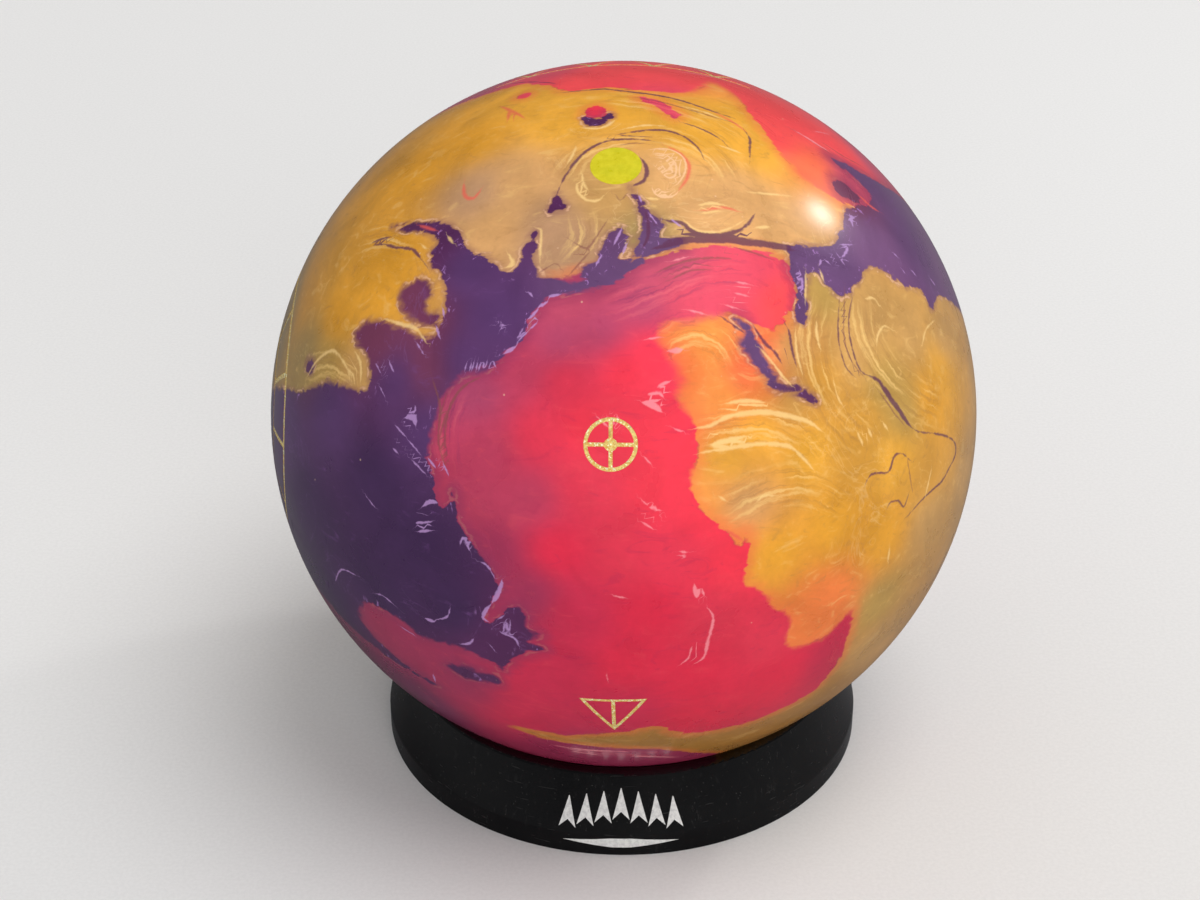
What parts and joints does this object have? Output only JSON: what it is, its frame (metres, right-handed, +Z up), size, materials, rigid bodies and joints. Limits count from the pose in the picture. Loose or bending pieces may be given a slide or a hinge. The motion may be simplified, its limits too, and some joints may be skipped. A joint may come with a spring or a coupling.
{
  "type": "bowling ball",
  "caption": "Undrilled bowling ball with a locating pin, engraved marks and a shaped weight block, resting in a low ring-shaped display cup.",
  "frame": {"origin": "centre of the cup's base, on the surface that it stands on", "axes": "+Z up along the cup's axis, -Y towards the side of the ball with the centre-of-gravity and mass-bias marks, +X to the right seen from there"},
  "size_m": [0.2172, 0.2172, 0.2206],
  "materials": {
    "black_plastic": "black moulded plastic, glossy with fine scuffs",
    "marbled_resin": "polished resin, marbled gold, red and purple",
    "filler": "cast filled resin",
    "dense_core": "cast dense resin",
    "densest_core": "cast dense resin",
    "pin_resin": "yellow-green resin, polished flush",
    "gold_fill": "gold paint with metal flake"
  },
  "bodies": {
    "cup": {"ball_cup": "black_plastic"},
    "ball": {"coverstock": "marbled_resin", "outer_core": "filler", "weight_block": "dense_core", "flip_block": "densest_core", "locating_pin": "pin_resin", "gravity_mark": "gold_fill", "bias_mark": "gold_fill", "side_emblem": "gold_fill", "top_emblem": "gold_fill"}
  },
  "joints": [
    {"name": "ball_lift", "type": "slide", "parent": "cup", "child": "ball", "axis": [0, 0, 1], "range_m": [0, 0.12]}
  ]
}
